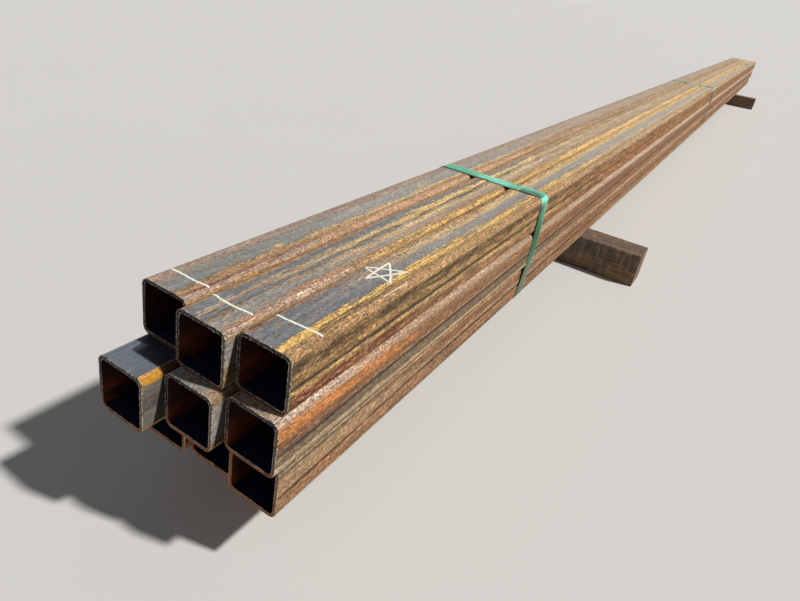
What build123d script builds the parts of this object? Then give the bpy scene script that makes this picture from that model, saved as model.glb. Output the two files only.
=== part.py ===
from build123d import *
import os

os.makedirs("parts", exist_ok=True)

# Nine square steel tubes, 5 x 5 x 5/16 in and 40 ft long, stacked three by three
tube_side = 127.0
tube_wall = 7.9
tube_corner_radius = 18.0
tube_length = 12192.0
side_gap = 2.0
weld_bead_width = 5.0
weld_bead_height = 1.2

# Sideways lean of each row, bottom row first
row_shifts = (-3.0, 4.0, 0.0)
row_names = ("bottom", "middle", "top")
column_names = ("left", "centre", "right")

# How far each front end is set back from the front end of the top right tube
front_setbacks = {
    "tube_top_left": -1.0,
    "tube_top_centre": -27.0,
    "tube_top_right": 0.0,
    "tube_middle_left": -106.0,
    "tube_middle_centre": -56.0,
    "tube_middle_right": -25.0,
    "tube_bottom_left": 2.0,
    "tube_bottom_centre": 16.0,
    "tube_bottom_right": -1.0,
}

# Steel straps around the bundle, the ends lapped on the top near the right corner
strap_width = 60.0
strap_thickness = 1.3
strap_clearance = 0.3
strap_lap_length = 67.0
strap_lap_from_right = 6.0
strap_distance_from_end = 1269.0

# Sawn timber bearers under the bundle
bearer_height = 150.0
bearer_width = 150.0
bearer_length = 914.4
bearer_arris = 3.0
bearer_distance_from_end = 2162.0

# The bundle is centred on the origin along its length and stands on z = 0
least_setback = min(front_setbacks.values())
most_setback = max(front_setbacks.values())
reference_front = -(least_setback + tube_length + most_setback) / 2
reference_rear = reference_front + tube_length
column_pitch = tube_side + side_gap
outer_column = (len(column_names) - 1) / 2


def row_bottom(row):
    return bearer_height + row * tube_side


def column_x(row, column):
    return row_shifts[row] + (column - outer_column) * column_pitch


def make_tube(label, centre_x, bottom_z):
    rear_y = reference_rear + front_setbacks[label]
    centre_z = bottom_z + tube_side / 2
    bore_side = tube_side - 2 * tube_wall
    with BuildPart() as tube:
        with BuildSketch(Plane.XZ.offset(-rear_y)) as section:
            with Locations((centre_x, centre_z)):
                RectangleRounded(tube_side, tube_side, tube_corner_radius)
                RectangleRounded(bore_side, bore_side, tube_corner_radius - tube_wall, mode=Mode.SUBTRACT)
            with Locations((centre_x, bottom_z + tube_wall)):
                Ellipse(weld_bead_width / 2, weld_bead_height)
        extrude(amount=tube_length)
    tube.part.label = label
    export_step(tube.part, f"parts/{label}.step")


def strap_corner_centres():
    centres = []
    for row in range(len(row_names)):
        left = column_x(row, 0) - tube_side / 2 + tube_corner_radius
        right = column_x(row, len(column_names) - 1) + tube_side / 2 - tube_corner_radius
        low = row_bottom(row) + tube_corner_radius
        high = row_bottom(row) + tube_side - tube_corner_radius
        centres += [(left, low), (left, high), (right, low), (right, high)]
    return centres


def make_strap(label, centre_y):
    strap_plane = Plane.XZ.offset(-centre_y - strap_width / 2)
    inside_radius = tube_corner_radius + strap_clearance
    outside_radius = inside_radius + strap_thickness
    top_row = len(row_names) - 1
    strap_top = row_bottom(top_row) + tube_side + strap_clearance + strap_thickness
    flat_right = column_x(top_row, len(column_names) - 1) + tube_side / 2 - tube_corner_radius
    lap_right = flat_right - strap_lap_from_right
    with BuildPart() as strap:
        with BuildSketch(strap_plane) as outside:
            with Locations(*strap_corner_centres()):
                Circle(outside_radius)
            make_hull()
        extrude(amount=strap_width)
        with BuildSketch(strap_plane) as inside:
            with Locations(*strap_corner_centres()):
                Circle(inside_radius)
            make_hull()
        extrude(amount=strap_width, mode=Mode.SUBTRACT)
        with BuildSketch(strap_plane) as lap:
            with Locations((lap_right, strap_top - strap_thickness / 2)):
                Rectangle(strap_lap_length, 3 * strap_thickness / 2, align=(Align.MAX, Align.MIN))
        extrude(amount=strap_width)
    strap.part.label = label
    export_step(strap.part, f"parts/{label}.step")


def make_bearer(label, centre_y):
    with BuildPart(Plane((0, centre_y, 0))) as bearer:
        Box(bearer_length, bearer_width, bearer_height, align=(Align.CENTER, Align.CENTER, Align.MIN))
        chamfer(bearer.edges().filter_by(Axis.X), bearer_arris)
    bearer.part.label = label
    export_step(bearer.part, f"parts/{label}.step")


# Tubes, row by row from the bottom left
for row, row_name in enumerate(row_names):
    for column, column_name in enumerate(column_names):
        make_tube(f"tube_{row_name}_{column_name}", column_x(row, column), row_bottom(row))

# Straps near the front, in the middle and near the rear
make_strap("strap_front", reference_front + strap_distance_from_end)
make_strap("strap_middle", (reference_front + reference_rear) / 2)
make_strap("strap_rear", reference_rear - strap_distance_from_end)

# Bearers a little further in than the end straps
make_bearer("bearer_front", reference_front + bearer_distance_from_end)
make_bearer("bearer_rear", reference_rear - bearer_distance_from_end)
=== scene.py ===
import math
import random

import bpy
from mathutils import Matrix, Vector
from mathutils import noise as fractal


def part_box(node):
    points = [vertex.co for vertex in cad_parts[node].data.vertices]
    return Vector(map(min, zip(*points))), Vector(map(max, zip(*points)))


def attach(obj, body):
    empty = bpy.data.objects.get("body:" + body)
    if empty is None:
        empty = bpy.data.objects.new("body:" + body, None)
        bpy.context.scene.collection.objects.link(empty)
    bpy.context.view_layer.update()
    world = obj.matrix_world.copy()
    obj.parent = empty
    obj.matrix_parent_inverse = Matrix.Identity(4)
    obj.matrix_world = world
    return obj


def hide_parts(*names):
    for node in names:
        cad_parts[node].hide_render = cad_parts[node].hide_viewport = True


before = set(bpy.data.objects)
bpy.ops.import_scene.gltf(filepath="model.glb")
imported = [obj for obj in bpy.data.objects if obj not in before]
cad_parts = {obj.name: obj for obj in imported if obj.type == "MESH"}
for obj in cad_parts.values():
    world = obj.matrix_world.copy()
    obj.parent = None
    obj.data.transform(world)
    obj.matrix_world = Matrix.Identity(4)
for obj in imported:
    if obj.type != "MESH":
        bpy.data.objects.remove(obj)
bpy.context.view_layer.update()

# Sizes of the CAD model, in metres
tube_side = 0.127
tube_wall = 0.0079
tube_corner = 0.018
lap_length = 0.067
lap_from_corner = 0.006
timber_arris = 0.003
row_names = ("bottom", "middle", "top")
column_names = ("left", "centre", "right")
tube_names = [f"tube_{row}_{column}" for row in row_names for column in column_names]
strap_names = ("strap_front", "strap_middle", "strap_rear")

half_side = tube_side / 2
half_bore = half_side - tube_wall
half_flat = half_side - tube_corner
front_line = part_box("tube_top_right")[0].y
stack_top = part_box("tube_top_centre")[1].z
stack_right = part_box("tube_top_right")[1].x
bearer_line = (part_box("bearer_rear")[0].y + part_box("bearer_rear")[1].y) / 2
timber_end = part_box("bearer_front")[1].x

# Bevels on the cut edges
cut_bevel = 0.0008
strap_bevel = 0.0003
bevel_angle = 60

# The photograph's view
camera_place = (0.6956, front_line - 0.6693, 1.1362)
camera_turn = (63.786, -8.076, 34.237)
camera_lens = 27.463
camera_shift = (0.0400, -0.0488)

# Light
sun_from = Vector((0.72, 0.23, 1.0))
sun_strength = 3.25
sun_softness = 3.5
sky_strength = 0.17
sky_colour = (218, 230, 245)
floor_colour = (214, 210, 204)
backdrop_colour = (216, 214, 210)
floor_reach = 90.0

# Colours, as they look in plain light, 0 to 255
palette = {
    # Mill scale
    "scale": (122, 127, 130),
    "scale_clean": (102, 112, 122),
    "scale_soft": (138, 140, 134),
    "scale_light": (162, 160, 152),
    "scale_pale": (152, 148, 140),
    "scale_dark": (84, 84, 82),
    "scale_shade": (30, 24, 22),
    "mottled": (106, 107, 98),
    "mauve": (166, 145, 130),
    "beige": (182, 164, 142),
    # Browns and reds
    "rust_brown": (156, 106, 60),
    "pink_brown": (172, 134, 110),
    "pink_tan": (200, 162, 130),
    "red_brown": (124, 78, 54),
    "rust_red": (160, 84, 50),
    "brown": (146, 108, 76),
    "brown_pale": (158, 120, 88),
    "umber": (134, 96, 68),
    "dark_brown": (78, 56, 42),
    "shadow_brown": (90, 76, 66),
    "seam": (36, 22, 12),
    # Oranges, ochres and tans
    "rust": (204, 130, 72),
    "gold": (196, 138, 46),
    "gold_line": (236, 204, 180),
    "ochre": (242, 196, 116),
    "ochre_light": (248, 210, 142),
    "ochre_pale": (230, 196, 146),
    "ochre_dull": (166, 134, 86),
    "corner_tan": (178, 144, 102),
    "line_tan": (186, 162, 126),
    "tan": (172, 142, 104),
    "dun": (167, 138, 105),
    "olive": (102, 85, 61),
    "grey_olive": (115, 103, 82),
    # Pits, dots and hair lines; the white pits and their white dots are partly a painted glint on corners
    "pale_pit": (206, 176, 148),
    "pit_dull": (176, 152, 127),
    "white_pit_and_glint": (192, 160, 138),
    "white_dot": (246, 234, 220),
    "hair_line": (222, 198, 160),
    # The far tops, with a painted sheen, and painted shadow under and between other tubes
    "far_pale": (238, 228, 208),
    "stack_shadow": (20, 24, 36),
    "gap_shadow": (34, 24, 20),
    # Bores, mostly painted shade with a painted blue sky light on their floors, and cut ends, whose pale edge
    # lines are partly painted highlight
    "bore_rust": (106, 46, 22),
    "bore_dark": (40, 22, 17),
    "bore_floor": (12, 18, 42),
    "cut_steel": (146, 132, 114),
    "cut_dark": (46, 38, 34),
    "cut_rust": (164, 100, 58),
    "pale_burr_and_highlight": (216, 204, 184),
    "burr_dark": (26, 20, 18),
    "burr_brown": (96, 70, 50),
    # Straps
    "strap_bright": (72, 186, 144),
    "strap_pale": (148, 246, 210),
    "strap_deep": (20, 84, 56),
    "strap_side": (22, 92, 42),
    "strap_dust": (84, 92, 44),
    "strap_edge": (22, 48, 36),
    "strap_worn": (198, 232, 214),
    # Timber and chalk
    "timber_hollow": (62, 46, 34),
    "timber_ridge": (132, 104, 76),
    "timber_stain": (84, 76, 68),
    "timber_sawn": (186, 164, 132),
    "ring_pale": (150, 120, 86),
    "ring_dark": (98, 70, 46),
    "end_stain": (86, 76, 66),
    "chalk_thin": (222, 208, 170),
    "chalk": (252, 250, 232),
}

# How rough, grainy and speckled each colour of a streak is, from clean mill scale to pitted rust
rustiness = {
    "scale": 0.22, "scale_clean": 0.0, "scale_soft": 0.2, "scale_light": 0.3, "scale_pale": 0.3,
    "scale_dark": 0.2, "scale_shade": 0.2, "mottled": 0.2, "mauve": 0.45, "beige": 0.4,
    "rust_brown": 0.7, "pink_brown": 0.6, "pink_tan": 0.6, "red_brown": 0.8, "brown": 0.7,
    "brown_pale": 0.7, "umber": 0.6, "dark_brown": 0.6, "shadow_brown": 0.3,
    "rust": 0.55, "gold": 0.25, "ochre": 0.8, "ochre_light": 0.8, "ochre_pale": 0.7, "ochre_dull": 0.8,
    "corner_tan": 0.8, "line_tan": 0.5, "tan": 0.7, "dun": 0.6, "olive": 0.7, "grey_olive": 0.5,
    "pale_pit": 0.6, "pit_dull": 0.5, "white_pit_and_glint": 1.0,
}

# Streaks on the tubes. Each list goes from the top left corner of a tube to the right and down its right
# side, as (width in mm, colour); the widths of a list add up to two sides.
# The pale and white pit bands on the right corners near the front are partly a painted glint
streaks_near = {
    "tube_top_left": (
        (38, "mauve"), (46, "scale_soft"), (14, "tan"), (12, "pink_brown"), (6, "red_brown"), (12, "mauve"),
        (8, "tan"), (118, "brown")),
    "tube_top_centre": (
        (14, "pink_brown"), (7, "tan"), (23, "scale"), (12, "beige"), (1, "scale_shade"), (13, "scale"),
        (6, "tan"), (32, "scale_pale"), (13, "pink_brown"), (12, "white_pit_and_glint"), (10, "tan"),
        (57, "scale_pale"), (54, "tan")),
    "tube_top_right": (
        (12, "olive"), (9, "pink_brown"), (63, "scale"), (17, "ochre"), (6, "scale_dark"), (5, "tan"),
        (29, "corner_tan"), (28, "olive"), (20, "ochre_dull"), (9, "shadow_brown"), (16, "ochre_dull"),
        (40, "red_brown")),
    "tube_middle_left": (
        (12, "scale_pale"), (102, "scale_clean"), (2, "rust_brown"), (24, "gold"), (30, "mottled"),
        (30, "scale_dark"), (36, "mottled"), (18, "ochre_dull")),
    "tube_middle_centre": (
        (104, "scale_pale"), (10, "pink_brown"), (4, "beige"), (20, "ochre_dull"), (90, "scale_pale"),
        (26, "brown")),
    "tube_middle_right": (
        (98, "mauve"), (12, "pale_pit"), (16, "white_pit_and_glint"), (10, "pale_pit"), (6, "pink_brown"),
        (26, "rust"), (24, "umber"), (10, "shadow_brown"), (26, "grey_olive"), (26, "line_tan")),
    "tube_bottom_right": (
        (122, "brown"), (27, "grey_olive"), (40, "dun"), (38, "brown_pale"), (27, "umber")),
}
streaks_far = {
    "tube_top_left": (
        (42, "mauve"), (44, "scale_light"), (10, "ochre_pale"), (12, "tan"), (22, "pink_tan"), (14, "tan"),
        (110, "brown")),
    "tube_top_centre": (
        (14, "pink_brown"), (7, "tan"), (18, "scale"), (24, "ochre_light"), (1, "scale_shade"),
        (11, "scale_pale"), (13, "ochre_pale"), (20, "beige"), (18, "tan"), (16, "ochre"), (50, "brown"),
        (62, "dark_brown")),
    "tube_top_right": (
        (12, "olive"), (18, "tan"), (17, "ochre_pale"), (38, "scale_pale"), (18, "ochre"), (9, "tan"),
        (29, "corner_tan"), (27, "olive"), (20, "ochre_dull"), (9, "shadow_brown"), (7, "ochre_dull"),
        (13, "corner_tan"), (37, "brown")),
    "tube_middle_left": ((110, "scale_dark"), (30, "brown"), (114, "dark_brown")),
    "tube_middle_centre": ((120, "dark_brown"), (134, "brown")),
    "tube_middle_right": (
        (98, "brown"), (42, "pit_dull"), (20, "brown_pale"), (26, "umber"), (4, "tan"),
        (10, "shadow_brown"), (30, "grey_olive"), (24, "line_tan")),
    "tube_bottom_right": (
        (140, "brown"), (28, "umber"), (18, "dun"), (6, "dark_brown"), (38, "brown_pale"),
        (24, "dark_brown")),
}
streaks_distant = {
    "tube_top_left": ((34, "mauve"), (60, "beige"), (26, "dun"), (16, "tan"), (118, "brown")),
    "tube_top_centre": (
        (4, "brown"), (40, "tan"), (14, "ochre_pale"), (6, "dun"), (22, "beige"), (26, "tan"),
        (28, "ochre"), (50, "brown"), (64, "dark_brown")),
    "tube_top_right": (
        (10, "tan"), (32, "ochre"), (42, "scale_light"), (14, "ochre_pale"), (50, "ochre_dull"),
        (30, "brown"), (76, "rust_brown")),
    "tube_middle_right": (
        (98, "brown"), (50, "pit_dull"), (42, "umber"), (10, "dark_brown"), (54, "brown")),
    "tube_bottom_right": ((122, "brown"), (90, "brown"), (42, "dun")),
}
# The left side and underside by column, from the top left corner down and then to the right. Each row
# starts its list two streaks further on.
streaks_below = {
    "left": (
        (22, "mauve"), (18, "ochre_dull"), (26, "scale"), (8, "scale_dark"), (30, "brown"), (20, "tan"),
        (30, "rust"), (40, "scale_pale"), (30, "brown"), (30, "ochre_dull")),
    "centre": (
        (40, "brown"), (24, "ochre_dull"), (30, "scale_pale"), (44, "umber"), (8, "scale_dark"),
        (40, "tan"), (34, "scale"), (34, "brown")),
    "right": (
        (40, "scale_dark"), (26, "brown"), (40, "ochre_dull"), (30, "scale_pale"), (10, "tan"),
        (54, "umber"), (30, "scale"), (24, "dun")),
}
row_offset = 2
# Tubes without a list of their own
plain_streaks = ((60, "brown"), (36, "ochre_dull"), (40, "scale_dark"), (60, "brown"), (58, "red_brown"))

# How far a streak blurs into the next, in mm
near_blur = 1.6
far_blur = 4.0
# Where the far and the distant lists take over, over what length and with how ragged a front, in metres
far_at = 0.42
far_over = 0.5
distant_at = 1.9
distant_over = 1.4
list_wander = 1.2

# Noises on the tubes: waves per metre round the tube and along it, detail, roughness
tube_noises = {
    "wave": (24.0, 1.6, 3.0, 0.55),
    "ragged": (90.0, 11.0, 4.0, 0.65),
    "fleck": (135.0, 52.0, 5.0, 0.78),
    "grain": (240.0, 105.0, 3.0, 0.8),
    "hue": (150.0, 56.0, 3.0, 0.75),
    "strands": (200.0, 5.0, 3.0, 0.65),
    "lines": (460.0, 1.6, 3.0, 0.75),
    "pits": (420.0, 170.0, 2.0, 0.6),
    "veins": (120.0, 2.2, 4.0, 0.65),
    "cloud": (30.0, 4.0, 5.0, 0.6),
}
# How far each tube's noises are shifted from those of the tube before it
seed_step = 7.0
# How far each noise shakes the streaks sideways, in metres, and the part of it that is left on the sides
streak_shake = (("wave", 0.022), ("ragged", 0.030), ("strands", 0.042), ("fleck", 0.022), ("grain", 0.014))
side_shake = 0.26

# Colours of the thin veins in the streaks, where they start and are full, in metres, and their shares there
vein_colours = (
    (0.36, "scale"), (0.42, "mauve"), (0.47, "rust_brown"), (0.52, "ochre_dull"), (0.57, "ochre_pale"),
    (0.63, "umber"))
vein_reach = (1.0, 4.0)
vein_share = (0.03, 0.30)
# Colours of the speckle on rust, from hollows to raised grains
speckle = (
    (0.34, "dark_brown"), (0.43, "rust_red"), (0.49, "tan"), (0.55, "rust"), (0.60, "ochre"),
    (0.68, "pale_pit"))
# Shares of the brown film, of the dense speckle and of its patches, on clean scale and on rust
film_share = (0.10, 0.22)
dense_share = (0.03, 0.36)
patch_share = (0.02, 0.17)
# Least and greatest share of the white dots on the most pitted rust, which are partly a painted glint
dot_share = (0.3, 0.8)
# Spots: distance behind the front line, place on the streak lists, half length and half width in mm, colour
spots = {
    "tube_top_left": ((310, 78, 13, 9, "ochre"), (985, 68, 15, 9, "ochre")),
    "tube_top_right": ((62, 40, 11, 6, "tan"), (240, 214, 9, 26, "pink_brown")),
}
spot_share = 0.8
spot_fraying = 2.4

# How much paler each column's top gets towards the far end, which is a painted sheen, and how much browner
# the sides get
far_paleness = {"left": 0.06, "centre": 0.14, "right": 0.16}
far_brownness = 0.22

# Where the painted shadow of the top row starts on the middle left tube's top, in metres: on its right and,
# further back, on its left
under_from_right = -0.057
under_from_left = -0.030
under_share = 0.8
# Tubes whose right side goes into a narrow gap, and where the next tube's end starts it, in metres; there the
# side gets a painted shadow, slanting back as the light casts it
gap_starts = {"tube_top_centre": 0.0, "tube_middle_left": -0.056, "tube_middle_centre": -0.025}
gap_slant = 0.23
gap_share = 0.85
# Over how much to each side of its start such painted shadow fades in, in metres
shadow_edge = 0.002

# Thin crisp lines from the rolls: place on the streak lists and half width in mm, share, colour, and how
# many mm further on the line starts at the front end
fine_lines = {
    "tube_top_right": (
        (194.5, 2.6, 0.65, "seam", 0.0), (20.5, 0.5, 0.4, "seam", 0.0),
        (204.0, 2.4, 0.25, "ochre_light", 0.0)),
    "tube_middle_left": ((113.6, 0.9, 0.85, "gold_line", 0.0), (116.0, 0.9, 0.6, "rust_red", 0.0)),
    "tube_middle_right": (
        (197.0, 2.4, 0.95, "seam", 5.0), (235.0, 0.6, 0.7, "hair_line", 0.0),
        (243.8, 0.5, 0.8, "hair_line", 0.0), (246.2, 0.4, 0.6, "hair_line", 0.0),
        (252.0, 0.7, 0.6, "hair_line", 0.0)),
    "tube_bottom_right": (
        (137.0, 1.0, 0.6, "hair_line", 0.0), (189.0, 1.6, 1.0, "seam", 11.0),
        (187.0, 2.8, 0.35, "seam", 11.0), (237.5, 1.4, 0.6, "hair_line", 0.0)),
}
# Where along the tube, in metres, the shift of those lines ends, and how far they wander
line_shift_over = 0.6
line_shake = (("wave", 0.006), ("fleck", 0.0014))

# How far the brightness swings: with the roll lines on the sides and the top, with the two grains, and from
# one blotch to the next on each row's sides and on the tops
brightness = 1.01
line_swing = (0.14, 0.18)
grain_swing = 0.54
fleck_swing = 0.22
blotchiness = {"bottom": 0.24, "middle": 0.16, "top": 0.42}
top_blotchiness = 0.14
# How much of the grain is left on clean scale
grain_on_scale = {"tube_middle_left": 0.15}
plain_grain = 0.30

# Rust on the cut ends: the height above a tube's middle that it reaches, in metres, and how much there is
rim_rust = {"bottom": (0.100, 0.90), "middle": (0.010, 0.80), "top": (0.000, 0.40)}
rim_rust_fade = 0.085
# How dark a rim is and how bright its outer and inner edges are, which is partly burr and partly painted
# highlight: on top, and what the upright walls, the right wall and the bottom wall add to that
rim_shares = {
    "dark": (0.95, -0.03, -0.67, 0.0),
    "outer": (0.40, 0.05, 0.50, -0.25),
    "inner": (0.25, -0.05, 0.45, 0.30),
}

# Where the bright lines along a rim, partly painted highlight, fade out and are full, from its outer and its
# inner edge, in metres
outer_line = (0.0024, 0.0010)
inner_line = (0.0022, 0.0010)

# Roughness of clean scale and of rust, gloss, and relief in metres
tube_roughness = (0.44, 0.88)
tube_gloss = 0.15
tube_relief = 0.0022

# Bores: how far their dark colour, mostly painted shade, reaches past the faces of their walls, in metres,
# and how rough it is
bore_margin = 0.0013
bore_roughness = 0.95
# The height over which the patch of rust in a bore fills, in metres from the tube's middle
bore_rust_height = (0.020, -0.030)

# Straps, in metres: where the painted highlight on top is centred, where it ends and is full from there, and
# how far below the top the sides turn to painted shade and then dusty
shine_at = 0.010
shine_reach = (0.09, 0.03)
side_shade_from = (0.010, 0.130)
dusty_from = (0.200, 0.340)
# The bright right corner, a painted highlight, from the side and from the top, and the pale cut end of the
# lap
corner_inset = (0.016, 0.010)
corner_drop = (0.034, 0.010)
lap_end = (0.0028, 0.0014)
strap_gloss = 0.25
strap_relief = 0.0005

# Timber: the growth rings' heart above the floor and their warp in metres, their count as an angle per metre,
# and the depth of the sawn ends in metres
ring_heart = 0.04
ring_warp = 0.03
ring_count = 1500.0
end_depth = (0.0016, 0.0009)
timber_relief = 0.0016


def linear(colour, alpha=1.0):
    """A 0 to 255 colour as Blender's linear one."""
    parts = [c / 255 for c in colour]
    return tuple(c / 12.92 if c <= 0.04045 else ((c + 0.055) / 1.055) ** 2.4 for c in parts) + (alpha,)


def palette_stops(marks):
    """The ramp stops of marks given as (place, colour)."""
    return [(place, linear(palette[colour])) for place, colour in marks]


def streak_stops(bands, blur):
    """The ramp stops of a list of streaks, each flat across its middle and blurred into the next."""
    whole = sum(width for width, colour in bands)
    stops = []
    start = 0.0
    for width, colour in bands:
        value = linear(palette[colour], rustiness[colour])
        soft = min(blur, width / 3)
        stops.append(((start + soft) / whole, value))
        stops.append(((start + width - soft) / whole, value))
        start += width
    return stops


class Nodes:
    """Short calls for the nodes of a material or world."""

    def __init__(self, owner):
        self.owner = owner
        owner.use_nodes = True
        self.tree = owner.node_tree
        self.tree.nodes.clear()

    def put(self, socket, value):
        if isinstance(value, bpy.types.NodeSocket):
            self.tree.links.new(value, socket)
        elif value is not None:
            socket.default_value = value

    def put_all(self, sockets, values):
        for socket, value in zip(sockets, values):
            self.put(socket, value)

    def add(self, kind, settings=None, **inputs):
        node = self.tree.nodes.new(kind)
        for key, value in (settings or {}).items():
            setattr(node, key, value)
        for key, value in inputs.items():
            self.put(node.inputs[key.replace("_", " ")], value)
        return node

    def place(self):
        """A point's coordinates, as one vector and as x, y and z."""
        place = self.add("ShaderNodeTexCoord").outputs["Object"]
        return place, self.add("ShaderNodeSeparateXYZ", Vector=place).outputs

    def math(self, operation, *values, clamp=False):
        node = self.add("ShaderNodeMath", {"operation": operation, "use_clamp": clamp})
        self.put_all(node.inputs, values)
        return node.outputs[0]

    def plus(self, a, b):
        return self.math("ADD", a, b)

    def minus(self, a, b):
        return self.math("SUBTRACT", a, b)

    def times(self, a, b):
        return self.math("MULTIPLY", a, b)

    def scaled(self, value, factor, offset):
        return self.math("MULTIPLY_ADD", value, factor, offset)

    def size(self, value):
        return self.math("ABSOLUTE", value)

    def length(self, a, b):
        return self.math("SQRT", self.plus(self.times(a, a), self.times(b, b)))

    def sway(self, value, noise, reach):
        """The value, moved by the noise."""
        return self.scaled(self.minus(noise, 0.5), reach, value)

    def vector(self, x, y, z):
        return self.add("ShaderNodeCombineXYZ", X=x, Y=y, Z=z).outputs[0]

    def stretched(self, parts, factors):
        return self.vector(*(self.times(part, factor) for part, factor in zip(parts, factors)))

    def noise(self, where, detail=3.0, rough=0.55, scale=1.0):
        settings = {"noise_dimensions": "3D"}
        return self.add("ShaderNodeTexNoise", settings, Vector=where, Scale=scale, Detail=detail,
                        Roughness=rough).outputs["Fac"]

    def span(self, value, low, high, to_low=0.0, to_high=1.0):
        """A smooth step: to_low below low and to_high above high."""
        node = self.add("ShaderNodeMapRange", {"interpolation_type": "SMOOTHSTEP"})
        self.put_all(node.inputs, (value, low, high, to_low, to_high))
        return node.outputs[0]

    def mix(self, share, a, b, blend="MIX"):
        node = self.add("ShaderNodeMix", {"data_type": "RGBA", "blend_type": blend})
        self.put_all((node.inputs[0], node.inputs[6], node.inputs[7]), (share, a, b))
        return node.outputs[2]

    def paint(self, colour, name, share):
        """The colour with a share of a palette colour over it."""
        return self.mix(share, colour, linear(palette[name]))

    def blend(self, share, a, b):
        node = self.add("ShaderNodeMix", {"data_type": "FLOAT"})
        self.put_all((node.inputs[0], node.inputs[2], node.inputs[3]), (share, a, b))
        return node.outputs[0]

    def ramp(self, value, stops):
        node = self.add("ShaderNodeValToRGB", Fac=value)
        marks = node.color_ramp.elements
        while len(marks) < len(stops):
            marks.new(0.5)
        for mark, (place, colour) in zip(marks, stops):
            mark.position = place
            mark.color = colour
        return node.outputs["Color"], node.outputs["Alpha"]

    def bump(self, height, depth):
        return self.add("ShaderNodeBump", Height=height, Distance=depth).outputs[0]

    def finish(self, **inputs):
        shader = self.add("ShaderNodeBsdfPrincipled", **inputs)
        self.add("ShaderNodeOutputMaterial", Surface=shader.outputs[0])
        return self.owner


def material_nodes(name):
    return Nodes(bpy.data.materials.new(name))


class TubeSurface:
    """Where a point lies on a tube, and the tube's noises, as nodes of its material."""

    def __init__(self, name):
        n = material_nodes(name)
        self.n = n
        self.name = name
        self.row, self.column = name.split("_")[1:]
        self.low, self.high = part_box(name)
        self.seed = seed_step * tube_names.index(name)
        self.x, self.y, self.z = n.place()[1]
        self.across = n.minus(self.x, (self.low.x + self.high.x) / 2)
        self.up = n.minus(self.z, self.low.z + half_side)
        self.along = n.minus(self.y, front_line)
        self.on_top = n.span(self.up, half_side - 0.0235, half_side - 0.0035)
        self.lower = n.math("LESS_THAN", n.plus(self.across, self.up), 0.0)
        self.plain_place = n.plus(n.minus(self.across, self.up), tube_side)
        self.noises = {key: self.tube_noise(*numbers) for key, numbers in tube_noises.items()}

    def tube_noise(self, across_scale, along_scale, detail, rough):
        n = self.n
        where = n.vector(n.scaled(self.across, across_scale, self.seed), n.times(self.y, along_scale),
                         n.times(self.up, across_scale))
        return n.noise(where, detail, rough)

    def shaken(self, place, shakes):
        for key, reach in shakes:
            place = self.n.sway(place, self.noises[key], reach)
        return place


def streaked(t):
    """Colour and rustiness of the long streaks, which wander, fray and break up."""
    n = t.n
    shake = n.times(t.shaken(0.0, streak_shake), n.blend(t.on_top, side_shake, 1.0))
    place = n.math("DIVIDE", n.plus(t.plain_place, shake), 2 * tube_side)
    colour, rust = n.ramp(place, streak_stops(streaks_near.get(t.name, plain_streaks), near_blur))

    lists = [(streaks_far.get(t.name, plain_streaks), far_at, far_over)]
    if t.name in streaks_distant:
        lists.append((streaks_distant[t.name], distant_at, distant_over))
    wander = n.sway(t.along, t.noises["cloud"], list_wander)
    for bands, at, over in lists:
        next_colour, next_rust = n.ramp(place, streak_stops(bands, far_blur))
        share = n.span(wander, at - over / 2, at + over / 2)
        colour = n.mix(share, colour, next_colour)
        rust = n.blend(share, rust, next_rust)
    veins = n.ramp(t.noises["veins"], palette_stops(vein_colours))[0]
    colour = n.mix(n.span(t.along, *vein_reach, *vein_share), colour, veins)

    bands = streaks_below[t.column]
    first = row_offset * row_names.index(t.row)
    below, below_rust = n.ramp(place, streak_stops(bands[first:] + bands[:first], near_blur))
    return n.mix(t.lower, colour, below), n.blend(t.lower, rust, below_rust)


def spotted(t, colour, along, place, half_length, half_width, spot_colour):
    """One blot of rust with a frayed edge."""
    n = t.n
    off_along = n.times(n.minus(t.along, along / 1000), 1000 / half_length)
    off_place = n.times(n.minus(t.plain_place, place / 1000), 1000 / half_width)
    off = n.sway(n.length(off_along, off_place), t.noises["fleck"], spot_fraying)
    off = n.scaled(t.lower, 9.0, off)
    return n.paint(colour, spot_colour, n.span(off, 1.1, 0.6, 0.0, spot_share))


def speckled(t, colour, rust):
    """A thin brown film in patches, speckle in many rust colours, spots and white dots."""
    n = t.n
    film = n.times(n.span(t.noises["cloud"], 0.48, 0.60), n.blend(rust, *film_share))
    colour = n.paint(colour, "red_brown", film)
    specks = n.ramp(t.noises["hue"], palette_stops(speckle))[0]
    dense = n.times(n.span(t.noises["fleck"], 0.48, 0.56), n.blend(rust, *dense_share))
    colour = n.mix(dense, colour, specks)
    patches = n.times(n.span(t.noises["ragged"], 0.52, 0.62), n.blend(rust, *patch_share))
    colour = n.mix(patches, colour, specks)
    for spot in spots.get(t.name, ()):
        colour = spotted(t, colour, *spot)
    # White dots on the white pit bands, partly a painted glint
    dots = n.times(n.span(rust, 0.90, 0.98), n.span(t.noises["pits"], 0.49, 0.56))
    dots = n.times(dots, n.span(t.noises["cloud"], 0.40, 0.50, *dot_share))
    return n.paint(colour, "white_dot", dots)


def far_sheen_and_browning(t, colour):
    """Tops paler towards the far end, a painted sheen, and browner sides there."""
    n = t.n
    far_top = n.times(n.span(t.along, 1.0, 3.0, 0.0, far_paleness[t.column]), t.on_top)
    colour = n.paint(colour, "far_pale", far_top)
    far_side = n.times(n.span(t.along, 0.8, 2.0, 0.0, far_brownness), n.minus(1.0, t.on_top))
    return n.paint(colour, "red_brown", far_side)


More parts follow.
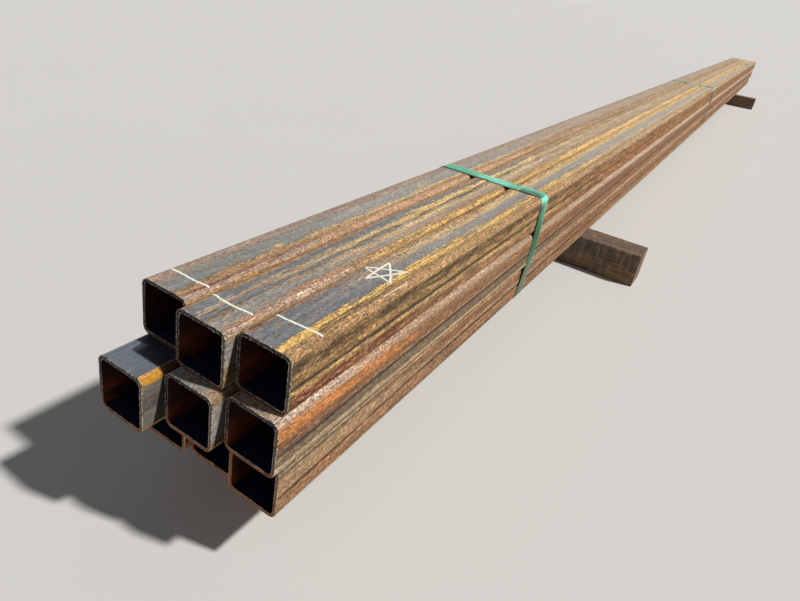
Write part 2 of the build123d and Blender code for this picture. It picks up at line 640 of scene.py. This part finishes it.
def painted_shadows(t, colour):
    """Painted shadow where other tubes lie over a tube or close beside it."""
    n = t.n
    # Painted shadow of the top row on the middle left tube's top, with the step of the cast shadow's edge
    if t.name == "tube_middle_left":
        step_back = n.span(t.across, -0.029, -0.035, 0.0, under_from_right - under_from_left)
        behind = n.plus(t.along, step_back)
        height = n.scaled(n.math("GREATER_THAN", t.across, 0.0), tube_corner, t.up)
        under = n.span(behind, under_from_right - shadow_edge, under_from_right + shadow_edge, 0.0, under_share)
        under = n.times(under, n.span(height, half_side - 0.0015, half_side - 0.0002))
        colour = n.paint(colour, "stack_shadow", under)
    # Painted shadow in the gap, slanting down and back as the next tube's end casts it
    if t.name in gap_starts:
        slant = n.scaled(n.minus(half_side, t.up), gap_slant, t.along)
        start = gap_starts[t.name]
        in_gap = n.span(slant, start - shadow_edge, start + shadow_edge)
        in_gap = n.times(in_gap, n.span(t.across, half_side - 0.0007, half_side - 0.0001))
        colour = n.paint(colour, "gap_shadow", n.times(in_gap, gap_share))
    return colour


def lined(t, colour):
    """The thin crisp lines on the top and the right side."""
    n = t.n
    line_place = t.shaken(t.plain_place, line_shake)
    upper = n.minus(1.0, t.lower)
    for place, half, share, line_colour, shift in fine_lines.get(t.name, ()):
        moved = n.minus(line_place, n.span(t.along, 0.0, line_shift_over, shift / 1000, 0.0))
        off = n.size(n.minus(moved, place / 1000))
        line = n.span(off, 1.3 * half / 1000, 0.7 * half / 1000)
        line = n.times(line, n.span(t.noises["cloud"], 0.36, 0.46, 0.6 * share, share))
        colour = n.paint(colour, line_colour, n.times(line, upper))
    return colour


def grained(t, colour, rust):
    """Light and dark roll lines all over, with grain and blotches where there is rust."""
    n = t.n
    swing = n.blend(t.on_top, *line_swing)
    shade = n.plus(n.times(n.span(t.noises["lines"], 0.38, 0.62, -1.0, 1.0), swing), brightness)
    grain = n.span(t.noises["grain"], 0.40, 0.60, 1 - grain_swing, 1 + grain_swing)
    grain = n.times(grain, n.span(t.noises["fleck"], 0.36, 0.64, 1 - fleck_swing, 1 + fleck_swing))
    blotch = n.blend(t.on_top, blotchiness[t.row], top_blotchiness)
    blotch = n.times(n.span(t.noises["ragged"], 0.40, 0.60, -1.0, 1.0), blotch)
    grain = n.scaled(grain, blotch, grain)
    grain_share = n.blend(rust, grain_on_scale.get(t.name, plain_grain), 1.0)
    shade = n.times(shade, n.blend(grain_share, 1.0, grain))
    return n.mix(1.0, colour, n.vector(shade, shade, shade), "MULTIPLY")


def bore_colour(t):
    """Nearly black, mostly painted shade, with a rusty patch low on the left wall and a bluish floor near the
    front, a painted sky light.
    """
    n = t.n
    where = n.vector(n.times(t.x, 20.0), n.scaled(t.y, 9.0, t.seed), n.times(t.z, 26.0))
    low_wall = n.times(n.span(t.up, *bore_rust_height), n.span(n.noise(where, 4.0), 0.40, 0.60))
    low_wall = n.times(low_wall, n.span(t.across, 0.0156 - half_bore, 0.0036 - half_bore))
    bore = n.paint(linear(palette["bore_dark"]), "bore_rust", low_wall)
    on_floor = n.span(t.up, 0.0011 - half_bore, 0.0021 - half_bore, 1.0, 0.0)
    bore = n.paint(bore, "bore_floor", n.times(on_floor, n.span(t.along, 1.0, 3.0, 1.0, 0.2)))
    return n.paint(bore, "red_brown", n.times(n.span(t.noises["fleck"], 0.56, 0.66), 0.12))


def cut_colour(t):
    """A saw cut: dark steel, bright along its two edges with burr and painted highlight, and rusty low down.
    """
    n = t.n

    def end_noise(across_scale, up_scale, detail, rough=0.55):
        where = n.vector(n.times(t.x, across_scale), 0.0, n.scaled(t.z, up_scale, t.seed))
        return n.noise(where, detail, rough)

    saw = end_noise(420.0, 260.0, 4.0, 0.8)
    broad = end_noise(40.0, 40.0, 2.0)
    dash = end_noise(150.0, 150.0, 3.0, 0.7)

    # How far into the wall a point is, and on which wall
    wide = n.math("MAXIMUM", n.minus(n.size(t.across), half_flat), 0.0)
    tall = n.math("MAXIMUM", n.minus(n.size(t.up), half_flat), 0.0)
    from_edge = n.minus(tube_corner, n.length(wide, tall))
    upright = n.span(n.minus(wide, tall), -0.003, 0.003)
    at_right = n.times(upright, n.math("GREATER_THAN", t.across, 0.0))
    at_bottom = n.times(n.minus(1.0, upright), n.math("LESS_THAN", t.up, 0.0))
    shares = {}
    for part, (share, *added) in rim_shares.items():
        for wall, more in zip((upright, at_right, at_bottom), added):
            share = n.scaled(wall, more, share)
        shares[part] = share

    face = n.paint(linear(palette["cut_dark"]), "cut_steel", n.span(saw, 0.44, 0.56))
    face = n.paint(face, "cut_dark", n.times(n.span(dash, 0.42, 0.50, 0.3, 1.0), shares["dark"]))
    reach, amount = rim_rust[t.row]
    low_rust = n.span(t.up, reach, reach - rim_rust_fade)
    low_rust = n.times(low_rust, n.span(broad, 0.36, 0.52, 0.5 * amount, amount))
    face = n.paint(face, "cut_rust", low_rust)
    # The bright edge lines, partly a painted highlight
    outer = n.times(shares["outer"], n.span(from_edge, *outer_line))
    inner = n.times(shares["inner"], n.span(from_edge, *(tube_wall - depth for depth in inner_line)))
    edges = n.times(n.math("MAXIMUM", outer, inner), n.span(dash, 0.56, 0.46, 0.1, 1.3))
    return n.paint(face, "pale_burr_and_highlight", n.times(edges, n.span(broad, 0.38, 0.54, 0.6, 1.0)))


def tube_material(name):
    """Mill scale under long broken streaks of rust, with cut ends and a dark bore."""
    t = TubeSurface(name)
    n = t.n
    colour, rust = streaked(t)
    colour = speckled(t, colour, rust)
    colour = far_sheen_and_browning(t, colour)
    colour = painted_shadows(t, colour)
    colour = lined(t, colour)
    colour = grained(t, colour, rust)
    off_middle = n.math("MAXIMUM", n.size(t.across), n.size(t.up))
    inside = n.math("LESS_THAN", off_middle, half_bore + bore_margin)
    colour = n.mix(inside, colour, bore_colour(t))
    from_end = n.math("MINIMUM", n.minus(t.y, t.low.y), n.minus(t.high.y, t.y))
    colour = n.mix(n.math("LESS_THAN", from_end, 1.05 * cut_bevel), colour, cut_colour(t))

    fleck = t.noises["fleck"]
    roughness = n.blend(rust, *tube_roughness)
    roughness = n.math("MULTIPLY_ADD", n.minus(fleck, 0.5), 0.3, roughness, clamp=True)
    roughness = n.blend(inside, roughness, bore_roughness)
    height = n.times(n.plus(t.noises["grain"], fleck), n.scaled(rust, 0.8, 0.2))
    return n.finish(Base_Color=colour, Roughness=roughness, Specular_IOR_Level=tube_gloss,
                    Normal=n.bump(height, tube_relief))


def strap_material(name):
    """Green strapping paint, streaked, with painted highlights and shade, and rust dust down the sides."""
    low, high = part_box(name)
    n = material_nodes(name)
    where, (x, y, z) = n.place()
    aside = n.math("DIVIDE", n.minus(y, (low.y + high.y) / 2), (high.y - low.y) / 2)
    scuff = n.noise(n.stretched((x, y, z), (22.0, 330.0, 22.0)), 4.0, 0.7)
    tone = n.noise(where, 4.0, 0.6, scale=14.0)
    shaken = n.sway(aside, scuff, 1.1)

    # Across its width the top is darkest at the front edge, a painted shade; the lapped end is darker again
    colour = n.paint(linear(palette["strap_deep"]), "strap_bright", n.span(shaken, -1.1, -0.1))
    lap_left = stack_right - tube_corner - lap_from_corner - lap_length
    on_lap = n.times(n.math("GREATER_THAN", x, lap_left), n.span(shaken, 0.5, 0.1))
    colour = n.paint(colour, "strap_deep", n.times(on_lap, 0.75))
    # A painted highlight across the middle of the top
    shine = n.span(n.size(n.minus(x, shine_at)), *shine_reach)
    shine = n.times(shine, n.span(tone, 0.34, 0.56, 0.1, 0.65))
    colour = n.paint(colour, "strap_pale", shine)
    colour = n.paint(colour, "strap_pale", n.span(scuff, 0.57, 0.63, 0.0, 0.7))
    colour = n.paint(colour, "strap_deep", n.span(scuff, 0.42, 0.36, 0.0, 0.7))
    front_edge = n.times(n.span(aside, -0.52, -0.72), n.span(x, 0.030, -0.030, 0.6, 0.9))
    colour = n.paint(colour, "strap_edge", front_edge)

    # Down the sides: painted shade, then rust dust
    down = n.minus(high.z, z)
    colour = n.paint(colour, "strap_side", n.span(down, *side_shade_from, 0.0, 0.75))
    dusty = n.times(n.span(down, *dusty_from, 0.0, 0.85), n.span(tone, 0.38, 0.56, 0.4, 1.0))
    colour = n.paint(colour, "strap_dust", dusty)
    # A painted highlight where the strap bends down at the right corner
    at_corner = n.span(x, *(high.x - inset for inset in corner_inset))
    at_corner = n.times(at_corner, n.span(down, *corner_drop))
    colour = n.paint(colour, "strap_pale", n.times(at_corner, 0.85))

    # The bare rear edge, and the cut end of the lap
    worn = n.times(n.span(aside, 0.90, 0.97), n.span(tone, 0.42, 0.52, 0.15, 0.8))
    lap_edge = n.span(n.size(n.minus(x, lap_left)), *lap_end)
    worn = n.math("MAXIMUM", worn, n.times(lap_edge, n.math("LESS_THAN", down, 0.01)))
    colour = n.paint(colour, "strap_worn", worn)
    return n.finish(Base_Color=colour, Roughness=n.span(scuff, 0.3, 0.7, 0.22, 0.44),
                    Specular_IOR_Level=strap_gloss, Normal=n.bump(scuff, strap_relief))


def timber_material():
    """Weathered sawn softwood with growth rings on its ends."""
    n = material_nodes("timber")
    place, (x, y, z) = n.place()
    grain = n.noise(n.stretched((x, y, z), (4.0, 150.0, 150.0)), 5.0, 0.7)
    saw = n.noise(n.stretched((x, y, z), (260.0, 14.0, 14.0)), 3.0)
    stain = n.noise(place, 5.0, 0.6, scale=9.0)
    colour = n.paint(linear(palette["timber_hollow"]), "timber_ridge", n.span(grain, 0.38, 0.60))
    colour = n.paint(colour, "timber_stain", n.times(n.span(stain, 0.44, 0.62), 0.75))
    colour = n.paint(colour, "timber_sawn", n.times(n.span(saw, 0.54, 0.62), 0.35))
    height = n.plus(grain, n.times(saw, 0.6))

    # Growth rings on the sawn ends, round a heart below the middle of the section
    warp = n.times(n.minus(stain, 0.5), ring_warp)
    aside = n.minus(n.size(n.plus(y, warp)), abs(bearer_line))
    radius = n.length(aside, n.minus(z, ring_heart))
    ring = n.math("SINE", n.times(n.plus(radius, warp), ring_count))
    ends = n.paint(linear(palette["ring_pale"]), "ring_dark", n.span(ring, -0.5, 0.9))
    ends = n.paint(ends, "end_stain", n.times(n.span(stain, 0.42, 0.6), 0.6))
    on_end = n.span(n.size(x), *(timber_end - depth for depth in end_depth))
    colour = n.mix(on_end, colour, ends)
    return n.finish(Base_Color=colour, Roughness=n.span(grain, 0.3, 0.7, 0.78, 0.96),
                    Normal=n.bump(height, timber_relief))


def chalk_material():
    """Dry chalk, thin where the stick skipped."""
    n = material_nodes("chalk")
    dust = n.noise(n.place()[0], 4.0, 0.7, scale=420.0)
    colour = n.paint(linear(palette["chalk_thin"]), "chalk", n.span(dust, 0.34, 0.50))
    return n.finish(Base_Color=colour, Roughness=n.span(dust, 0.3, 0.7, 0.8, 0.98),
                    Normal=n.bump(dust, 0.0004))


def burr_material():
    """Torn steel along a saw cut: dark and rusty, bright where it is bent."""
    n = material_nodes("burr")
    place = n.place()[0]
    tear = n.noise(place, 3.0, 0.7, scale=420.0)
    patch = n.noise(place, 3.0, 0.6, scale=110.0)
    colour = n.paint(linear(palette["burr_dark"]), "burr_brown", n.span(tear, 0.42, 0.56))
    colour = n.paint(colour, "pale_burr_and_highlight", n.times(n.span(patch, 0.48, 0.54), 0.9))
    return n.finish(Base_Color=colour, Roughness=n.span(tear, 0.3, 0.7, 0.5, 0.8),
                    Normal=n.bump(tear, 0.0005))


def floor_material():
    n = material_nodes("floor")
    cloud = n.noise(n.place()[0], 2.0, scale=0.8)
    paler = tuple(min(255, c + 3) for c in floor_colour)
    return n.finish(Base_Color=n.mix(cloud, linear(floor_colour), linear(paler)), Roughness=0.9)


def new_object(name, points, faces, material):
    mesh = bpy.data.meshes.new(name)
    mesh.from_pydata(points, [], faces)
    mesh.materials.append(material)
    made = bpy.data.objects.new(name, mesh)
    bpy.context.scene.collection.objects.link(made)
    return made


def mesh_piece(name, points, faces, material):
    """A new piece that rides on the root body."""
    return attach(new_object(name, points, faces, material), "root")


def top_height(x):
    """Height of the top row's surface at x, following the rounded corners."""
    for column in column_names:
        low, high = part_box(f"tube_top_{column}")
        if low.x <= x <= high.x:
            beyond = abs(x - (low.x + high.x) / 2) - half_flat
            if beyond <= 0:
                return high.z
            return high.z - tube_corner + math.sqrt(tube_corner ** 2 - beyond ** 2)
    return stack_top - tube_corner


# Chalk marks on the top row, each a list of strokes through points (x, distance behind the front line) in mm
chalk_marks = {
    "chalk_line_left": (((-182, 60), (-151, 61), (-114, 60), (-76, 65)),),
    "chalk_line_centre": (((-57, 53), (-28, 49), (-2, 48), (22, 50), (51, 53)),),
    "chalk_line_right": (((79, 85), (105, 86), (136, 89), (160, 91), (183, 93)),),
    "chalk_star": (
        ((81, 376), (120, 366), (160, 358)), ((160, 356), (134, 398), (106, 438)),
        ((105, 438), (107, 386), (112, 332)), ((111, 333), (136, 383), (158, 432)),
        ((158, 430), (118, 404), (80, 377))),
}
chalk_width = {"chalk_star": 0.0052}
line_width = 0.0054
scratch_strokes = (((181, 296), (181.6, 340), (182, 392)),)
scratch_width = 0.0010
scratch_seed = 99
chalk_step = 0.003
chalk_rise = 0.0004
stroke_rise = 0.00012
stroke_wander = 0.1
stroke_taper = 0.55
stroke_unevenness = (0.75, 1.15)


def stroke_centres(stroke):
    """Points a small step apart along a stroke."""
    corners = [Vector((x / 1000, front_line + y / 1000)) for x, y in stroke]
    centres = []
    for start, end in zip(corners, corners[1:]):
        steps = max(2, round((end - start).length / chalk_step))
        centres += [start.lerp(end, k / steps) for k in range(steps)]
    return centres + [corners[-1]]


def drawn_mark(name, strokes, width, material, seed):
    """A hand-drawn mark: thin uneven layers lying on the top row, each stroke over the last."""
    rng = random.Random(seed)
    points = []
    faces = []
    for number, stroke in enumerate(strokes):
        rise = chalk_rise + number * stroke_rise
        first = len(points)
        centres = stroke_centres(stroke)
        for k, centre in enumerate(centres):
            aim = (centres[min(k + 1, len(centres) - 1)] - centres[max(k - 1, 0)]).normalized()
            aside = Vector((-aim.y, aim.x))
            centre = centre + aside * rng.uniform(-stroke_wander, stroke_wander) * width
            taper = stroke_taper if k in (0, len(centres) - 1) else 1.0
            for side in (-0.5, 0.5):
                p = centre + aside * side * taper * rng.uniform(*stroke_unevenness) * width
                z = top_height(p.x)
                points.append((p.x, p.y, z - chalk_rise / 4))
                points.append((p.x, p.y, z + rise))
        for k in range(len(centres) - 1):
            a = first + 4 * k
            b = a + 4
            faces += [(a + 1, b + 1, b + 3, a + 3), (a, a + 2, b + 2, b)]
            faces += [(a, b, b + 1, a + 1), (a + 2, a + 3, b + 3, b + 2)]
        last = len(points) - 4
        faces += [(first, first + 1, first + 3, first + 2), (last, last + 2, last + 3, last + 1)]
    return mesh_piece(name, points, faces, material)


# Burrs along the cut ends: tube, how far the edge is inside the outer one, longest tooth, forward lean
burrs = (
    ("tube_top_left", 0.0, 0.0020, 0.5), ("tube_top_centre", 0.0, 0.0027, 0.6),
    ("tube_top_centre", tube_wall, 0.0024, 0.4), ("tube_top_right", 0.0, 0.0024, 0.5),
    ("tube_top_right", tube_wall, 0.0022, 0.4), ("tube_middle_left", 0.0, 0.0024, 0.0),
    ("tube_middle_left", tube_wall, 0.0022, 0.0), ("tube_middle_centre", 0.0, 0.0020, 0.4),
    ("tube_middle_right", 0.0, 0.0022, 0.4),
)
burr_step = 0.0011
# The part of the rim that is torn, in degrees, where 0 is right and 90 is up, and its length in tube sides
burr_turns = (146, 8)
burr_run = 2.2
# How far a burr's root reaches in from the edge, and how far back it goes
burr_root = 0.0009
burr_depth = 0.0026


def rim_point(name, inset, turn):
    """A point of the rim round a tube's end, and the way out of it there; a turn of zero is right."""
    low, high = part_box(name)
    round_off = tube_corner - inset
    way = Vector((math.cos(turn), math.sin(turn)))
    square = way * (half_side - inset) / max(abs(way.x), abs(way.y))
    corner = Vector((max(-half_flat, min(half_flat, square.x)), max(-half_flat, min(half_flat, square.y))))
    out = square - corner
    out = out.normalized() if out.length > 1e-6 else way
    return Vector(((low.x + high.x) / 2, low.z + half_side)) + corner + out * round_off, out


def burr_piece(number, name, inset, tooth, lean, material):
    """A torn lip along the upper edge of a cut end and a little way down its right side."""
    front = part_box(name)[0].y
    inward = -1.0 if inset else 1.0
    from_turn, to_turn = (math.radians(turn) for turn in burr_turns)
    steps = round(burr_run * (tube_side - 2 * inset) / burr_step)
    points = []
    faces = []
    for k in range(steps + 1):
        edge, out = rim_point(name, inset, from_turn + (to_turn - from_turn) * k / steps)
        tear = fractal.noise(Vector((k * 0.19, number * 9.7, 0.0)))
        tear += 0.5 * fractal.noise(Vector((k * 0.7, number * 3.1, 4.0)))
        height = tooth * max(0.06, min(1.0, 0.3 + 1.3 * tear))
        foot = edge - out * inward * burr_root
        tip = edge + out * inward * (height * 0.7 - 0.0003)
        back = edge - out * inward * 0.0002
        points.append((foot.x, front + 0.0002, foot.y))
        points.append((tip.x, front + 0.0004 - lean * height, tip.y))
        points.append((back.x, front + burr_depth, back.y))
    for k in range(steps):
        a = 3 * k
        b = a + 3
        faces += [(a, b, b + 1, a + 1), (a + 1, b + 1, b + 2, a + 2), (a + 2, b + 2, b, a)]
    faces += [(0, 1, 2), (3 * steps, 3 * steps + 2, 3 * steps + 1)]
    piece = mesh_piece(f"burr_{name[5:]}_{number}", points, faces, material)
    return piece


# Sawn timber: points along it and round its section, saw waves, wear of the corners, and the drying cracks
# that run in from its ends: side, place on it, length and depth
timber_steps = 150
timber_across = 12
saw_wave = 0.0007
corner_wear = 0.0012
cracks = (
    ("top", 0.047, 0.20, 0.005), ("front", 0.083, 0.26, 0.006), ("rear", 0.052, 0.15, 0.004),
    ("front", 0.121, 0.09, 0.004))
crack_width = 0.0013
crack_taper = 0.7


def section_line(start, end, marks):
    """Points from start up to end, with a close group at each crack."""
    length = (end - start).length
    places = [length * k / timber_across for k in range(timber_across)]
    for mark in marks:
        places = [p for p in places if abs(p - mark) > 2 * crack_width]
        places += [mark - crack_width, mark, mark + crack_width]
    return [(start.lerp(end, p / length), p) for p in sorted(places)]


def timber_section(low, high):
    """Points round a bearer: the point, the way in, the side that it is on, and its place on that side."""
    arris = timber_arris
    corners = [
        Vector((low.y, low.z + arris)), Vector((low.y, high.z - arris)),
        Vector((low.y + arris, high.z)), Vector((high.y - arris, high.z)),
        Vector((high.y, high.z - arris)), Vector((high.y, low.z + arris)),
        Vector((high.y - arris, low.z)), Vector((low.y + arris, low.z)),
    ]
    ring = []
    for k, side in enumerate(("front", None, "top", None, "rear", None, "bottom", None)):
        start, end = corners[k], corners[(k + 1) % len(corners)]
        run = end - start
        inward = Vector((run.y, -run.x)).normalized()
        if side is None:
            ring.append((start, inward, None, 0.0))
        else:
            marks = [crack[1] for crack in cracks if crack[0] == side]
            ring += [(p, inward, side, s) for p, s in section_line(start, end, marks)]
    return ring


def timber_sink(x, p, side, s, from_end, seed):
    """How far the surface lies below the CAD one at a point."""
    wave = fractal.noise(Vector((x * 90, p.x * 8 + seed, p.y * 8)))
    sink = saw_wave * (0.5 + 0.5 * wave)
    if side is None:
        wear = fractal.noise(Vector((x * 26, p.x * 30 + seed, p.y * 30)))
        sink += corner_wear * max(0.0, wear)
    for crack_side, mark, run, depth in cracks:
        if side == crack_side and abs(s - mark) < 1e-6 and from_end < run:
            sink += depth * (1 - from_end / run) ** crack_taper
    return sink


def timber_piece(name, node, material, seed):
    """A rough sawn bearer: waves from the saw, worn corners and cracks, all cut into its CAD size."""
    low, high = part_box(node)
    ring = timber_section(low, high)
    count = len(ring)
    points = []
    faces = []
    for i in range(timber_steps + 1):
        x = low.x + (high.x - low.x) * i / timber_steps
        from_end = min(x - low.x, high.x - x)
        for p, inward, side, s in ring:
            q = p + inward * timber_sink(x, p, side, s, from_end, seed)
            points.append((x, q.x, q.y))
    for i in range(timber_steps):
        for k in range(count):
            a = i * count + k
            b = i * count + (k + 1) % count
            faces.append((a, b, b + count, a + count))
    faces.append(tuple(range(count)))
    faces.append(tuple(timber_steps * count + k for k in reversed(range(count))))
    piece = mesh_piece(name, points, faces, material)
    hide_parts(node)
    return piece


def add_stage():
    """A pale floor that reaches far beyond the view."""
    reach = floor_reach
    corners = [(-reach, -reach, 0), (reach, -reach, 0), (reach, reach, 0), (-reach, reach, 0)]
    new_object("floor", corners, [(0, 1, 2, 3)], floor_material())


def add_sun():
    sun = bpy.data.lights.new("sun", "SUN")
    sun.energy = sun_strength
    sun.angle = math.radians(sun_softness)
    lamp = bpy.data.objects.new("sun", sun)
    lamp.rotation_euler = sun_from.to_track_quat("Z", "Y").to_euler()
    bpy.context.scene.collection.objects.link(lamp)


def add_world():
    """A soft sky that lights the scene, and a plain pale backdrop that shows in its place."""
    world = bpy.data.worlds.new("world")
    bpy.context.scene.world = world
    n = Nodes(world)
    ray = n.add("ShaderNodeLightPath").outputs
    seen = n.math("MAXIMUM", ray["Is Camera Ray"], ray["Is Glossy Ray"])
    seen = n.math("MAXIMUM", seen, ray["Is Transmission Ray"])
    sky = n.add("ShaderNodeBackground", Color=linear(sky_colour), Strength=sky_strength)
    backdrop = n.add("ShaderNodeBackground", Color=linear(backdrop_colour))
    mix = n.add("ShaderNodeMixShader")
    n.put_all(mix.inputs, (seen, sky.outputs[0], backdrop.outputs[0]))
    n.add("ShaderNodeOutputWorld", Surface=mix.outputs[0])


def add_camera():
    lens = bpy.data.cameras.new("camera")
    lens.lens = camera_lens
    lens.shift_x, lens.shift_y = camera_shift
    lens.clip_start = 0.05
    lens.clip_end = 400.0
    camera = bpy.data.objects.new("camera", lens)
    camera.location = camera_place
    camera.rotation_euler = [math.radians(turn) for turn in camera_turn]
    bpy.context.scene.collection.objects.link(camera)
    bpy.context.scene.camera = camera


def dress(name, material, bevel):
    """Gives a CAD node its material and takes the sharpness off its cut edges."""
    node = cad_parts[name]
    node.data.materials.clear()
    node.data.materials.append(material)
    softened = node.modifiers.new("worn_edges", "BEVEL")
    softened.width = bevel
    softened.segments = 1
    softened.limit_method = "ANGLE"
    softened.angle_limit = math.radians(bevel_angle)


for name in tube_names:
    dress(name, tube_material(name), cut_bevel)
for name in strap_names:
    dress(name, strap_material(name), strap_bevel)

timber = timber_material()
timber_piece("timber_front", "bearer_front", timber, 1.0)
timber_piece("timber_rear", "bearer_rear", timber, 6.0)

burr_steel = burr_material()
for number, (name, inset, tooth, lean) in enumerate(burrs):
    burr_piece(number, name, inset, tooth, lean, burr_steel)

chalk = chalk_material()
for number, (name, strokes) in enumerate(chalk_marks.items()):
    drawn_mark(name, strokes, chalk_width.get(name, line_width), chalk, number)
drawn_mark("scratch", scratch_strokes, scratch_width, chalk, scratch_seed)

add_stage()
add_sun()
add_world()
add_camera()
bpy.context.scene.view_settings.view_transform = "Standard"
